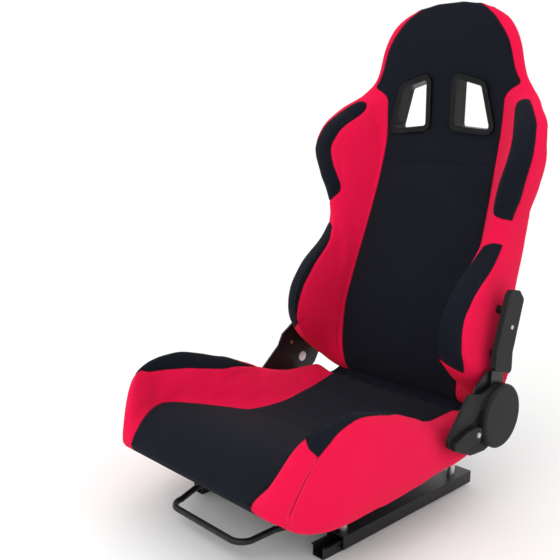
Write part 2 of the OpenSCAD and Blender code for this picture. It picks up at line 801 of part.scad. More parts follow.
lean = atan2(arm_knee[1] - hinge_z, arm_knee[0] - hinge_y);
spread = asin(arm_half / (sector_r - 2));
tip_lean = atan2(arm_tip[1] - arm_knee[1], arm_tip[0] - arm_knee[0]);
module recliner_arm(s) {
    color(black_paint)
        to_side(s)
            difference() {
                yz(arm_x, plate_t)
                    polygon(concat(
                        [for (q = teeth(sector_r - 1, sector_r + sector_tooth, 228, 306, sector_pitch))
                            hinge + q],
                        arc(hinge, sector_r - 2, 312, 360 + lean - spread, 8),
                        [arm_knee + arm_half * [sin(lean), -cos(lean)]],
                        arc(arm_tip, 15, tip_lean - 90, tip_lean + 90, 12),
                        [arm_knee - arm_half * [sin(lean), -cos(lean)]],
                        arc(hinge, sector_r - 2, lean + spread, 222, 8)));
                xcyl(arm_x - 1, arm_x + plate_t + 1, hinge_y, hinge_z, hinge_d + 2 * hinge_clear);
                for (p = [arm_a, arm_b])
                    xcyl(arm_x - 1, arm_x + plate_t + 1, p[0], p[1], bolt_d);
                if (s > 0)
                    xcyl(arm_x - 1, arm_x + plate_t + 1, arm_screw[0], arm_screw[1], 4);
            }
}

module recliner_arm_left() {
    recliner_arm(-1);
}

module recliner_arm_right() {
    recliner_arm(1);
}

module arm_bolts() {
    color(zinc)
        for (s = [-1, 1])
            to_side(s)
                for (p = [arm_a, arm_b]) {
                    xcyl(arm_x - 22, arm_x + plate_t, p[0], p[1], bolt_d);
                    xcyl(arm_x + plate_t, arm_x + plate_t + 4, p[0], p[1], 13);
                }
}

strip_t = 6;
lever_x = cover_x + strip_t + 0.8;
lever_t = 8;
module recliner_cover() {
    color(plastic)
        difference() {
            union() {
                yz(cover_x, bulge_x - 4 - cover_x)
                    translate(hinge)
                        circle(bulge_r);
                translate([bulge_x - 4, hinge_y, hinge_z])
                    rotate([0, 90, 0])
                        rotate_extrude()
                            polygon([[0, 0], [bulge_r, 0], [bulge_r - 2, 2.4], [bulge_r - 6, 3.8],
                                [0, 4]]);
                yz(cover_x, strip_t)
                    union() {
                        polygon([[27, 169], [26, 178], [36, 190], [80, 240], [97, 237], [113, 232],
                            [125, 232], [141, 235], [164, 240], [146, 222], [128, 202], [119, 204],
                            [78, 180], [48, 172]]);
                        translate([36, 168])
                            circle(14);
                    }
                yz(cover_x, 2)
                    polygon([[28, 168], [33, 158], [47, 146], [75, 133], [108, 122], [143, 120],
                        [165, 126], [150, 225], [125, 231], [97, 236], [80, 239], [29, 180]]);
                yz(plate_x + plate_t, cover_x - plate_x - plate_t + 1)
                    translate(clip)
                        circle(8);
            }
            translate([cover_x - 1, hinge_y, hinge_z])
                rotate([0, 90, 0])
                    cylinder(r = bulge_r - cover_t, h = bulge_x - 4 - cover_x + 1);
            xcyl(cover_x - 1, cover_x + 3, lever_y, lever_z, lever_pin_d + 1);
            xcyl(plate_x, cover_x - 0.5, clip[0], clip[1], 4);
        }
}

module cover_screw() {
    color(zinc) {
        xcyl(plate_x, cover_x - 1, clip[0], clip[1], 4);
        xcyl(plate_x - 1.5, plate_x, clip[0], clip[1], 9);
    }
}

module recliner_lever() {
    color(plastic)
        difference() {
            union() {
                yz(lever_x, lever_t)
                    union() {
                        translate(lever_at)
                            circle(13);
                        polygon([[lever_y + 10, lever_z + 8], [lever_y - 4, lever_z + 15], [64, 178],
                            [36, 168], [32, 154], [62, 146], [lever_y + 2, lever_z - 13]]);
                        translate([38, 160])
                            circle(9);
                    }
                xcyl(cover_x + 2.4, lever_x + 1, lever_y, lever_z, 20);
            }
            xcyl(cover_x, lever_x + lever_t + 1, lever_y, lever_z, lever_pin_d);
        }
}

module lever_pin() {
    color(zinc) {
        xcyl(plate_x, lever_x + lever_t, lever_y, lever_z, lever_pin_d);
        xcyl(plate_x - 1.7, plate_x - 0.2, lever_y, lever_z, lever_pin_d + 4);
    }
}

module lever_screw() {
    color(zinc)
        xcyl(lever_x + lever_t, lever_x + lever_t + 2.4, lever_y, lever_z, 9);
}

module recliner_pawl() {
    d = norm(hinge - lever_at);
    a = atan2(lever_z - hinge_z, lever_y - hinge_y);
    tip_r = sector_r + sector_tooth + 0.6;
    b = a + acos(tip_r / d);
    out = [cos(b), sin(b)];
    side = [-sin(b), cos(b)];
    tip = hinge + tip_r * out;
    heel = hinge + (tip_r + 9) * out;
    along = unit(heel - lever_at);
    up = [-along[1], along[0]];
    c = atan2(along[1], along[0]);
    color(zinc)
        difference() {
            yz(arm_x, plate_t)
                polygon(concat(arc(lever_at, 11, c + 30, c + 330, 16),
                    [heel - 5.5 * up + 3 * along, heel + 5.5 * along, tip + 1.4 * side,
                        tip - 1.4 * side, heel - 5 * along + 5.5 * up]));
            xcyl(arm_x - 1, arm_x + plate_t + 1, lever_y, lever_z, lever_pin_d);
        }
}

arm_shell = 10.5;
function arm_outline(g) = [[150 + g, 268 + g * 0.3], [153 + g, 304], [184 + g, 400], [193, 408 - g],
    [218, 404 - g], [234 - g, 386], [206 - g, 292], [206 - g, 252 + g * 0.3]];
module arm_cover() {
    color(plastic)
        difference() {
            union() {
                difference() {
                    yz(arm_x + plate_t + 0.3, arm_shell)
                        polygon(filleted(arm_outline(0), 8));
                    yz(arm_x + plate_t, arm_shell - cover_t)
                        polygon(filleted(arm_outline(cover_t), 6));
                }
                yz(arm_x + plate_t + 0.3, arm_shell - 1)
                    translate(arm_screw)
                        circle(5);
            }
            xcyl(arm_x, arm_x + plate_t + arm_shell + 2, arm_screw[0], arm_screw[1], 4);
        }
}

module arm_cover_screw() {
    color(zinc) {
        xcyl(arm_x, arm_x + plate_t + arm_shell + 0.4, arm_screw[0], arm_screw[1], 4);
        xcyl(arm_x + plate_t + arm_shell + 0.3, arm_x + plate_t + arm_shell + 1.7, arm_screw[0],
            arm_screw[1], 8);
    }
}

// ---- backrest ----
leg_x = 172;
head_x = 140;
head_y = 340;
function leg_y(z) = 238 + 0.24 * (z - 200);
bend_z = 540;
neck_z = 675;
arch_z = 862;
module backrest_frame() {
    r = 50;
    y = head_y;
    color(black_paint)
        difference() {
            union() {
                for (s = [-1, 1]) {
                    rods([[s * leg_x, leg_y(212), 212], [s * leg_x, leg_y(bend_z), bend_z],
                        [s * head_x, y, neck_z], [s * head_x, y, arch_z - r]], tube_d);
                    translate([s * (head_x - r), y, arch_z - r])
                        rotate([90, 0, s > 0 ? 0 : 180])
                            rotate_extrude(angle = 90)
                                translate([r, 0])
                                    circle(d = tube_d);
                    yz(s * leg_x - plate_t / 2, plate_t)
                        polygon([[arm_a[0] - 14, arm_a[1] - 16], [leg_y(arm_a[1] - 16), arm_a[1] - 16],
                            [leg_y(arm_b[1] + 16), arm_b[1] + 16], [arm_b[0] - 14, arm_b[1] + 16]]);
                    for (p = [arm_a, arm_b])
                        to_side(s)
                            xcyl(leg_x - 1, arm_x, p[0], p[1], boss_d);
                }
                rod([-(head_x - r), y, arch_z], [head_x - r, y, arch_z], tube_d);
                rod([-leg_x, leg_y(212), 212], [leg_x, leg_y(212), 212], 16);
                rod([-leg_x, leg_y(520), 520], [leg_x, leg_y(520), 520], 16);
            }
            for (s = [-1, 1])
                for (p = [arm_a, arm_b])
                    to_side(s)
                        xcyl(arm_x - 24, arm_x + 1, p[0], p[1], bolt_d);
        }
}

module backrest_springs() {
    color(zinc)
        for (z = [290, 370, 450])
            translate([0, leg_y(z), z])
                rotate([90, 0, 0])
                    rotate(-90)
                        sinuous(-leg_x + tube_d / 2, leg_x - tube_d / 2, 24, 22);
}

// harness opening corners, seen from the front on the +X side: [x, z]
slot = [[35, 690], [116, 683], [93, 766], [36, 782]];
module slot_shape(g) {
    polygon(filleted(grown(slot, g), guide_r + g));
}

module xz(y0, t) {
    translate([0, y0 + t, 0])
        rotate([90, 0, 0])
            linear_extrude(t)
                children();
}

slot_mid = 730;
guide_front = at(back_front, slot_mid) - guide_proud;
guide_rear = at(back_rear, slot_mid) + guide_proud;
guide_mid = (guide_front + guide_rear) / 2;
module harness_guide_front(s) {
    color(plastic)
        to_side(s)
            difference() {
                union() {
                    xz(guide_front, 7)
                        slot_shape(rim_w);
                    xz(guide_front, guide_mid - guide_front)
                        slot_shape(guide_t);
                }
                xz(guide_front - 1, 100)
                    slot_shape(0);
            }
}

module harness_guide_front_left() {
    harness_guide_front(-1);
}

module harness_guide_front_right() {
    harness_guide_front(1);
}

module harness_guide_rear(s) {
    color(plastic)
        to_side(s)
            difference() {
                union() {
                    xz(guide_rear - 6, 6)
                        slot_shape(rim_w);
                    xz(guide_mid, guide_rear - guide_mid)
                        slot_shape(guide_t);
                }
                xz(guide_mid - 1, 100)
                    slot_shape(0);
            }
}

module harness_guide_rear_left() {
    harness_guide_rear(-1);
}

module harness_guide_rear_right() {
    harness_guide_rear(1);
}

module backrest_cushion() {
    color(cloth_red)
        difference() {
            polyhedron(loft_points(back_rings),
                loft_faces(len(back_rings[0]), back_n, true), convexity = 6);
            for (s = [-1, 1])
                to_side(s)
                    xz(250, 200)
                        slot_shape(guide_t);
        }
}

lower_rail_left();
lower_rail_right();
lock_strip_left();
lock_strip_right();
ball_cage_left();
ball_cage_right();
rail_balls_left();
rail_balls_right();
upper_rail_left();
upper_rail_right();
bar_bracket_left();
bar_bracket_right();
bar_pin_left();
bar_pin_right();
towel_bar();
lock_pawl_left();
lock_pawl_right();
rail_spacers();
rail_bolts();
squab_frame();
squab_springs();
squab_cushion();
recliner_plate_left();
recliner_plate_right();
plate_bolts();
stop_pins();
hinge_pin_left();
hinge_pin_right();
return_spring();
recliner_cover();
cover_screw();
recliner_lever();
lever_pin();
lever_screw();
recliner_pawl();
recliner_arm_left();
recliner_arm_right();
arm_bolts();
arm_cover();
arm_cover_screw();
backrest_frame();
backrest_springs();
backrest_cushion();
harness_guide_front_left();
harness_guide_front_right();
harness_guide_rear_left();
harness_guide_rear_right();
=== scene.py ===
import math

import bpy
import numpy as np
from mathutils import Matrix


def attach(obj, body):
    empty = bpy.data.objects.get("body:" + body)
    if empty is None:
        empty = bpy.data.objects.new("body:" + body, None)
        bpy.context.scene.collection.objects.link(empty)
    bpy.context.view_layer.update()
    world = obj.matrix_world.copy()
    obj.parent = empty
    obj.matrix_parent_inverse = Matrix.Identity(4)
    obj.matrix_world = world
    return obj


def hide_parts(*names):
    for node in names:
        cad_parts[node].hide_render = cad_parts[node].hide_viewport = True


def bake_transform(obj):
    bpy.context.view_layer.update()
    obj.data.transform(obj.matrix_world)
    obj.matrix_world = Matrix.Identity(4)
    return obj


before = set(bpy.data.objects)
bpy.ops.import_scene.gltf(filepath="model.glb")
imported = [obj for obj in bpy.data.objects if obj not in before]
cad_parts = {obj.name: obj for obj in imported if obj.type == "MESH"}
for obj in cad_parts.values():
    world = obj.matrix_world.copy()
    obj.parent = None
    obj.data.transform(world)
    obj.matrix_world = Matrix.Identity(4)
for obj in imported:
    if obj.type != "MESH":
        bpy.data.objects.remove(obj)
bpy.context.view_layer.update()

# ---- studio ----
# A pale floor that curves up into a wall all round, a white room and three soft lights.
# The camera stands to the right of the front, a little above the squab.
view_side, view_down, view_roll = (math.radians(a) for a in (46.2, 11.4, 0.4))
back = np.array([math.sin(view_side) * math.cos(view_down), -math.cos(view_side) * math.cos(view_down),
                 math.sin(view_down)])
level = np.array([math.cos(view_side), math.sin(view_side), 0.0])
up = np.cross(back, level)
right = math.cos(view_roll) * level + math.sin(view_roll) * up
up = np.cross(back, right)
camera = bpy.data.objects.new("camera", bpy.data.cameras.new("camera"))
camera.data.sensor_width = 36
camera.data.lens = 51.17
camera.data.clip_start = 0.05
camera_place = (0.967, -1.052, 0.700)
rows = np.column_stack([right, up, back, camera_place])
camera.matrix_world = Matrix(rows.tolist() + [[0, 0, 0, 1]])
bpy.context.scene.collection.objects.link(camera)
bpy.context.scene.camera = camera
bpy.context.scene.view_settings.view_transform = "Standard"

room = bpy.data.worlds.new("white_room")
bpy.context.scene.world = room
room.use_nodes = True
room.node_tree.nodes["Background"].inputs["Color"].default_value = (1.0, 1.0, 1.0, 1)
room.node_tree.nodes["Background"].inputs["Strength"].default_value = 1.12


def soft_light(name, place, aim, width, watts):
    """A square lamp of the given width at place, turned towards aim."""
    lamp = bpy.data.objects.new(name, bpy.data.lights.new(name, "AREA"))
    lamp.data.size = width
    lamp.data.energy = watts
    away = np.array(place, float) - np.array(aim, float)
    away /= np.linalg.norm(away)
    across = np.cross((0, 0, 1), away)
    across /= np.linalg.norm(across)
    rows = np.column_stack([across, np.cross(away, across), away, place])
    lamp.matrix_world = Matrix(rows.tolist() + [[0, 0, 0, 1]])
    bpy.context.scene.collection.objects.link(lamp)


soft_light("front_light", (0.5, -2.5, 2.3), (0, 0, 0.6), 1.6, 15)
soft_light("side_light", (1.9, -1.9, 1.5), (-0.1, 0.1, 0.6), 1.2, 6)
soft_light("top_light", (0.3, 0.6, 2.9), (0, 0.1, 0.4), 1.8, 2)


class Nodes:
    """Short names for adding and joining the nodes of one material or group."""

    def __init__(self, tree):
        self.tree = tree

    def add(self, kind, settings=None, **sockets):
        node = self.tree.nodes.new("ShaderNode" + kind)
        for key, value in (settings or {}).items():
            setattr(node, key, value)
        for key, value in sockets.items():
            self.feed(node.inputs[key.replace("_", " ")], value)
        return node

    def feed(self, socket, value):
        if isinstance(value, bpy.types.NodeSocket):
            self.tree.links.new(value, socket)
        else:
            socket.default_value = value

    def sum(self, operation, first, second=0.5, clamp=False):
        node = self.tree.nodes.new("ShaderNodeMath")
        node.operation = operation
        node.use_clamp = clamp
        self.feed(node.inputs[0], first)
        self.feed(node.inputs[1], second)
        return node.outputs[0]

    def mix(self, factor, first, second, how="MIX"):
        node = self.tree.nodes.new("ShaderNodeMix")
        node.data_type = "RGBA"
        node.blend_type = how
        self.feed(node.inputs["Factor"], factor)
        self.feed(node.inputs[6], first)
        self.feed(node.inputs[7], second)
        return node.outputs[2]

    def bump(self, height, distance, strength=1.0):
        return self.add("Bump", Height=height, Distance=distance, Strength=strength).outputs[0]


def new_material(name, **constants):
    """A material with one Principled shader, whose plain values are set on the shader itself."""
    material = bpy.data.materials.new(name)
    material.use_nodes = True
    shader = material.node_tree.nodes["Principled BSDF"]
    for key, value in constants.items():
        shader.inputs[key.replace("_", " ")].default_value = value
    return material, Nodes(material.node_tree), shader


def new_group(name, inputs, outputs):
    """A shader node group with named float or vector inputs and outputs."""
    group = bpy.data.node_groups.new(name, "ShaderNodeTree")
    for key, value in inputs.items():
        kind = "NodeSocketVector" if value is None else "NodeSocketFloat"
        socket = group.interface.new_socket(key, in_out="INPUT", socket_type=kind)
        if value is not None:
            socket.default_value = value
    for key in outputs:
        group.interface.new_socket(key, in_out="OUTPUT", socket_type="NodeSocketFloat")
    n = Nodes(group)
    return group, n, group.nodes.new("NodeGroupInput").outputs, group.nodes.new("NodeGroupOutput").inputs


floor_material, n, shader = new_material("pale_floor", Roughness=0.85, Specular_IOR_Level=0.2)
place = n.add("TexCoord").outputs["Object"]
mottle = n.add("TexNoise", Vector=place, Scale=1.4, Detail=3.0).outputs["Fac"]
n.feed(shader.inputs["Base Color"], n.mix(mottle, (0.93, 0.93, 0.925, 1), (0.965, 0.965, 0.96, 1)))
# The floor is a profile turned about the upright axis: flat, a quarter round, then a wall.
flat_radius, bend_radius, wall_top, floor_sides = 3.5, 2.5, 4.2, 72
turn = np.linspace(0, math.pi / 2, 24)
radius = np.concatenate([[0.02], flat_radius + bend_radius * np.sin(turn), [flat_radius + bend_radius]])
rise = np.concatenate([[0.0], bend_radius * (1 - np.cos(turn)), [wall_top]])
round_it = np.arange(floor_sides) * 2 * math.pi / floor_sides
floor_points = np.stack([np.outer(radius, np.cos(round_it)), np.outer(radius, np.sin(round_it)),
                         np.repeat(rise[:, None], floor_sides, 1)], -1).reshape(-1, 3)
i, j = np.meshgrid(np.arange(len(radius) - 1), np.arange(floor_sides), indexing="ij")
k = (j + 1) % floor_sides
floor_faces = np.stack([i * floor_sides + j, (i + 1) * floor_sides + j, (i + 1) * floor_sides + k,
                        i * floor_sides + k], -1).reshape(-1, 4)
floor_mesh = bpy.data.meshes.new("floor")
floor_mesh.from_pydata(floor_points.tolist(), [], floor_faces.tolist() + [tuple(range(floor_sides))])
floor_mesh.polygons.foreach_set("use_smooth", [True] * len(floor_mesh.polygons))
floor_mesh.materials.append(floor_material)
floor = bpy.data.objects.new("floor", floor_mesh)
bpy.context.scene.collection.objects.link(floor)

# ---- black steel ----
# Rails, brackets, frame tubes, recliner plates and arms: pressed or bent steel
# under satin black powder coat, rubbed thin along the edges.
group, n, given, out = new_group("edge_wear", {"Radius": 0.0012, "Grain": 220.0}, ["Wear", "Smudge"])
bevel = n.add("Bevel", {"samples": 4}, Radius=given["Radius"]).outputs[0]
flat = n.add("NewGeometry").outputs["Normal"]
turned = n.add("VectorMath", {"operation": "DOT_PRODUCT"})
n.feed(turned.inputs[0], bevel)
n.feed(turned.inputs[1], flat)
edge = n.sum("MULTIPLY", n.sum("SUBTRACT", 1.0, turned.outputs["Value"]), 6.0, True)
place = n.add("TexCoord").outputs["Object"]
rub = n.add("TexNoise", Vector=place, Scale=given["Grain"], Detail=4.0, Roughness=0.7).outputs["Fac"]
rub = n.sum("MULTIPLY", n.sum("SUBTRACT", rub, 0.45), 5.0, True)
n.feed(out["Wear"], n.sum("MULTIPLY", edge, rub))
n.feed(out["Smudge"], n.add("TexNoise", Vector=place, Scale=9.0, Detail=5.0, Roughness=0.65).outputs["Fac"])
edge_wear = group


def use_group(n, group, **sockets):
    """Places a node group in a material and returns its outputs."""
    node = n.tree.nodes.new("ShaderNodeGroup")
    node.node_tree = group
    for key, value in sockets.items():
        n.feed(node.inputs[key], value)
    return node.outputs


def painted_steel():
    """Satin black powder coat: fine orange peel, faint smudges and grey rubbed edges."""
    material, n, shader = new_material("black_powder_coat", Specular_IOR_Level=0.3)
    worn = use_group(n, edge_wear)
    place = n.add("TexCoord").outputs["Object"]
    peel = n.add("TexNoise", Vector=place, Scale=900.0, Detail=2.0).outputs["Fac"]
    coat = n.mix(worn["Smudge"], (0.006, 0.006, 0.007, 1), (0.013, 0.013, 0.014, 1))
    n.feed(shader.inputs["Base Color"], n.mix(worn["Wear"], coat, (0.11, 0.11, 0.115, 1)))
    n.feed(shader.inputs["Roughness"], n.sum("ADD", n.sum("MULTIPLY", worn["Smudge"], 0.22), 0.24))
    rounded = n.add("Bevel", {"samples": 4}, Radius=0.0009).outputs[0]
    bump = n.add("Bump", Height=peel, Distance=0.00012, Strength=0.5, Normal=rounded)
    n.feed(shader.inputs["Normal"], bump.outputs[0])
    return material


def dress(material, *names):
    """Gives CAD nodes one material in every slot."""
    for name in names:
        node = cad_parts[name]
        if not node.material_slots:
            node.data.materials.append(material)
        for slot in node.material_slots:
            slot.material = material


steel = painted_steel()
for side in ("left", "right"):
    dress(steel, "lower_rail_" + side, "lock_strip_" + side, "upper_rail_" + side, "bar_bracket_" + side,
          "recliner_plate_" + side, "recliner_arm_" + side)
dress(steel, "towel_bar", "squab_frame", "backrest_frame")

# ---- zinc plate and spring wire ----
# Bolts, spacers, pins, cages, balls and pawls: steel with bright zinc, a little
# dull and stained. The springs are drawn wire, darker than the zinc.


def plated(name, low, high, roughness):
    """Zinc plate: cool grey with darker stains and a fine cloudy roughness."""
    material, n, shader = new_material(name, Metallic=1.0)
    worn = use_group(n, edge_wear, Radius=0.0008)
    place = n.add("TexCoord").outputs["Object"]
    stain = n.add("TexNoise", Vector=place, Scale=140.0, Detail=5.0, Roughness=0.7).outputs["Fac"]
    n.feed(shader.inputs["Base Color"], n.mix(stain, low, high))
    rough = n.sum("ADD", n.sum("MULTIPLY", stain, 0.25), roughness)
    n.feed(shader.inputs["Roughness"], n.sum("SUBTRACT", rough, n.sum("MULTIPLY", worn["Wear"], 0.1)))
    n.feed(shader.inputs["Normal"], n.add("Bevel", {"samples": 4}, Radius=0.0004).outputs[0])
    return material


zinc = plated("zinc_plate", (0.42, 0.42, 0.41, 1), (0.74, 0.73, 0.70, 1), 0.18)
wire = plated("spring_wire", (0.20, 0.20, 0.21, 1), (0.42, 0.42, 0.43, 1), 0.3)
for side in ("left", "right"):
    dress(zinc, "ball_cage_" + side, "rail_balls_" + side, "bar_pin_" + side, "lock_pawl_" + side,
          "hinge_pin_" + side)
dress(zinc, "rail_spacers", "rail_bolts", "plate_bolts", "stop_pins", "cover_screw", "lever_pin",
      "lever_screw", "recliner_pawl", "arm_bolts", "arm_cover_screw")
dress(wire, "squab_springs", "backrest_springs", "return_spring")

# ---- moulded covers ----
# Recliner covers, lever and harness bezels: black plastic from a mould with a
# fine spark-eroded grain, paler where hands and sleeves polish the edges.
group, n, given, out = new_group("mould_grain", {"Pitch": 0.0007}, ["Height"])
place = n.add("TexCoord").outputs["Object"]
per_metre = n.sum("DIVIDE", 1.0, given["Pitch"])
cells = n.add("TexVoronoi", {"feature": "SMOOTH_F1"}, Vector=place, Scale=per_metre)
n.feed(out["Height"], cells.outputs["Distance"])
mould_grain = group


def moulded(name, low, high, edge, roughness):
    """Grained plastic: two close greys, paler worn edges, roughness that drifts."""
    material, n, shader = new_material(name, Specular_IOR_Level=0.16)
    worn = use_group(n, edge_wear, Radius=0.0016, Grain=60.0)
    grain = use_group(n, mould_grain)
    base = n.mix(worn["Smudge"], low, high)
    n.feed(shader.inputs["Base Color"], n.mix(worn["Wear"], base, edge))
    n.feed(shader.inputs["Roughness"], n.sum("ADD", n.sum("MULTIPLY", worn["Smudge"], 0.2), roughness))
    rounded = n.add("Bevel", {"samples": 6}, Radius=0.0014).outputs[0]
    bump = n.add("Bump", Height=grain["Height"], Distance=0.00015, Strength=0.6, Normal=rounded)
    n.feed(shader.inputs["Normal"], bump.outputs[0])
    return material


cover_plastic = moulded("cover_plastic", (0.0085, 0.0085, 0.0095, 1), (0.0145, 0.0145, 0.0155, 1),
                        (0.05, 0.05, 0.052, 1), 0.45)
bezel_plastic = moulded("bezel_plastic", (0.004, 0.004, 0.005, 1), (0.007, 0.007, 0.008, 1),
                        (0.03, 0.03, 0.03, 1), 0.28)
dress(cover_plastic, "recliner_cover", "recliner_lever", "arm_cover")
for place in ("front_left", "front_right", "rear_left", "rear_right"):
    dress(bezel_plastic, "harness_guide_" + place)

# ---- cover fabric ----
# Brushed knit in red and black. Where the colours meet, two panels are sewn
# together and the seam is drawn into the foam.
group, n, given, out = new_group("knit", {"Vector": None, "Pitch": 0.0014}, ["Height", "Tone"])
parts = n.add("SeparateXYZ", Vector=given["Vector"])
across = n.sum("DIVIDE", parts.outputs["X"], given["Pitch"])
along = n.sum("DIVIDE", parts.outputs["Y"], n.sum("MULTIPLY", given["Pitch"], 0.8))
lean = n.sum("ABSOLUTE", n.sum("SUBTRACT", n.sum("FRACT", across), 0.5))
rib = n.sum("SINE", n.sum("MULTIPLY", n.sum("FRACT", across), math.pi))
loop = n.sum("ABSOLUTE", n.sum("SINE", n.sum("MULTIPLY", n.sum("ADD", along, lean), math.pi)))
n.feed(out["Height"], n.sum("MULTIPLY", rib, loop))
fuzz = n.add("TexNoise", Vector=given["Vector"], Scale=900.0, Detail=3.0, Roughness=0.7).outputs["Fac"]
n.feed(out["Tone"], fuzz)
knit = group


def fabric():
    """Red where the panel value is below zero and black above it, with painted shade and highlight on the
    knit loops and a dark thread line on the seam.
    """
    material, n, shader = new_material("brushed_knit", Roughness=0.95, Specular_IOR_Level=0.05,
                                       Sheen_Weight=0.03, Sheen_Roughness=0.5)
    cloth = n.add("UVMap", {"uv_map": "cloth"}).outputs[0]
    panel = n.add("Attribute", {"attribute_name": "panel"}).outputs["Fac"]
    seam = n.add("Attribute", {"attribute_name": "seam"}).outputs["Fac"]
    threads = use_group(n, knit, Vector=cloth)
    place = n.add("TexCoord").outputs["Object"]
    patch = n.add("TexNoise", Vector=place, Scale=14.0, Detail=4.0, Roughness=0.6).outputs["Fac"]
    fleck = n.add("TexNoise", Vector=place, Scale=420.0, Detail=2.0, Roughness=0.8).outputs["Fac"]
    red = n.mix(patch, (0.80, 0.004, 0.052, 1), (0.94, 0.007, 0.070, 1))
    red = n.mix(n.sum("MULTIPLY", fleck, 0.5), red, (0.97, 0.018, 0.100, 1))
    black = n.mix(patch, (0.0046, 0.0064, 0.0120, 1), (0.0076, 0.0100, 0.0172, 1))
    black = n.mix(n.sum("MULTIPLY", fleck, 0.4), black, (0.022, 0.024, 0.031, 1))
    side = n.sum("ADD", n.sum("MULTIPLY", panel, 2000.0), 0.5, True)
    colour = n.mix(side, red, black)
    # Painted shade and highlight: the colour is darker in the valleys between the knit loops and lighter on
    # their tops, from the same height as the bump, mixed with the fuzz's random tone.
    loop_shade_and_fuzz_tone = n.sum("ADD", n.sum("MULTIPLY", threads["Height"], 0.35), n.sum("MULTIPLY", threads["Tone"], 0.35))
    colour = n.mix(0.55, colour, n.mix(loop_shade_and_fuzz_tone, (0.45, 0.45, 0.45, 1), (1.5, 1.5, 1.5, 1)), "MULTIPLY")
    thread_width, groove_width = 0.0016, 0.0025
    line = n.sum("SUBTRACT", 1.0, n.sum("MULTIPLY", seam, 1 / thread_width), True)
    n.feed(shader.inputs["Base Color"], n.mix(n.sum("MULTIPLY", line, 0.75), colour, (0.03, 0.003, 0.008, 1)))
    groove = n.sum("MULTIPLY", n.sum("MINIMUM", seam, groove_width), 1 / groove_width)
    height = n.sum("ADD", n.sum("MULTIPLY", threads["Height"], 0.5), groove)
    height = n.sum("ADD", height, n.sum("MULTIPLY", fleck, 0.6))
    n.feed(shader.inputs["Normal"], n.bump(height, 0.0006, 0.55))
    return material


cover_fabric = fabric()


def along_stations(table, place):
    """A smooth curve through (place, value) pairs: cubic between neighbours, with each
    slope the harmonic mean of the two beside it, and level where they differ in sign."""
    x, y = np.array(table, float).T
    step = np.diff(y) / np.diff(x)
    both = step[:-1] * step[1:]
    middle = np.where(both > 0, 2 * both / np.where(both > 0, step[:-1] + step[1:], 1), 0)
    slope = np.concatenate([step[:1], middle, step[-1:]])
    t = np.clip(place, x[0], x[-1])
    i = np.clip(np.searchsorted(x, t, side="left") - 1, 0, len(x) - 2)
    h = x[i + 1] - x[i]
    u = (t - x[i]) / h
    return ((2 * u**3 - 3 * u**2 + 1) * y[i] + (u**3 - 2 * u**2 + u) * h * slope[i]
            + (3 * u**2 - 2 * u**3) * y[i + 1] + (u**3 - u**2) * h * slope[i + 1])


def half_section(u, x1, xr, w, f, r, b, s, dn, rc, xb):
    """Half a cushion section. u runs 0 to 7: flat centre to x1, eased slope to the ridge (xr, r), a
    quarter ellipse to the side (w, r + dn), straight side, rear corner of radius rc, eased back to xb
    and flat to the middle. f, b and s are the depths of the front, the back and the side's rear."""
    ease = lambda t: t * t * (3 - 2 * t)
    quarter = lambda k: (u - k) * math.pi / 2
    parts = [u < 1, u < 2, u < 3, u < 4, u < 5, u < 6]
    across = np.select(parts, [x1 * u, x1 + (xr - x1) * (u - 1), xr + (w - xr) * np.sin(quarter(2)),
                               w + 0 * u, w - rc * (1 - np.cos(quarter(4))),
                               w - rc + (xb - w + rc) * (u - 5)], xb * (7 - u))
    depth = np.select(parts, [f + 0 * u, f + (r - f) * ease(u - 1), r + dn * (1 - np.cos(quarter(2))),
                              r + dn + (s - rc - r - dn) * (u - 3), s - rc + rc * np.sin(quarter(4)),
                              s + (b - s) * ease(u - 5)], b + 0 * u)
    return across, depth


def end_rounding(t, low, high, low_round, high_round):
    """Share of the full thickness near each end: a quarter circle of the given radius."""
    near = np.minimum(1, np.minimum((t - low) / low_round, 1))
    far = np.minimum(1, (high - t) / high_round)
    share = lambda e: np.sqrt(np.maximum(0.002, 1 - (1 - e) ** 2))
    return share(near) * share(far)


def spaced(low, high, low_round, high_round, step):
    """Places from low to high: even steps in between, and even angles round each end."""
    angle = lambda radius: np.linspace(0, math.pi / 2, max(8, int(radius * 1.57 / step * 1.3)) + 1)
    start = low + low_round * (1 - np.cos(angle(low_round)))
    stop = high - high_round * (1 - np.cos(angle(high_round)))[::-1]
    middle = np.linspace(start[-1], stop[0], int((stop[0] - start[-1]) / step) + 1)[1:-1]
    return np.concatenate([start, middle, stop])


# Steps round half a section, one count for each of its seven stretches.
ring_steps = (42, 42, 22, 36, 10, 22, 24)
half_u = np.concatenate([k + np.arange(m) / m for k, m in enumerate(ring_steps)] + [[7.0]])
ring_u = np.concatenate([half_u, half_u[-2:0:-1]])
ring_side = np.concatenate([np.ones(len(half_u)), -np.ones(len(half_u) - 2)])


def grid_normals(points):
    """Outward normals of a closed ring grid: the cross product of the steps along and round it."""
    round_step = np.roll(points, -1, 1) - np.roll(points, 1, 1)
    normal = np.cross(round_step, np.gradient(points, axis=0))
    return normal / np.maximum(np.linalg.norm(normal, axis=2, keepdims=True), 1e-9)


def distance_to(points, line):
    """Distance of each point to a polyline: the least over its segments."""
    flat = points.reshape(-1, 3)
    best = np.full(len(flat), 1e9)
    for a, b in zip(line[:-1], line[1:]):
        d = b - a
        t = np.clip((flat - a) @ d / max(d @ d, 1e-12), 0, 1)
        best = np.minimum(best, ((flat - a - t[:, None] * d) ** 2).sum(1))
    return np.sqrt(best).reshape(points.shape[:-1])


def ring_faces(rows, columns):
    """Quads of a closed ring grid, with a fan to a middle point at each end."""
    i, j = np.meshgrid(np.arange(rows - 1), np.arange(columns), indexing="ij")
    k = (j + 1) % columns
    quads = np.stack([i * columns + j, i * columns + k, (i + 1) * columns + k, (i + 1) * columns + j], -1)
    j = np.arange(columns)
    k = (j + 1) % columns
    last = (rows - 1) * columns
    first_cap = np.stack([np.full(columns, rows * columns), k, j], -1)
    last_cap = np.stack([np.full(columns, rows * columns + 1), last + j, last + k], -1)
    return quads.reshape(-1, 4), first_cap, last_cap


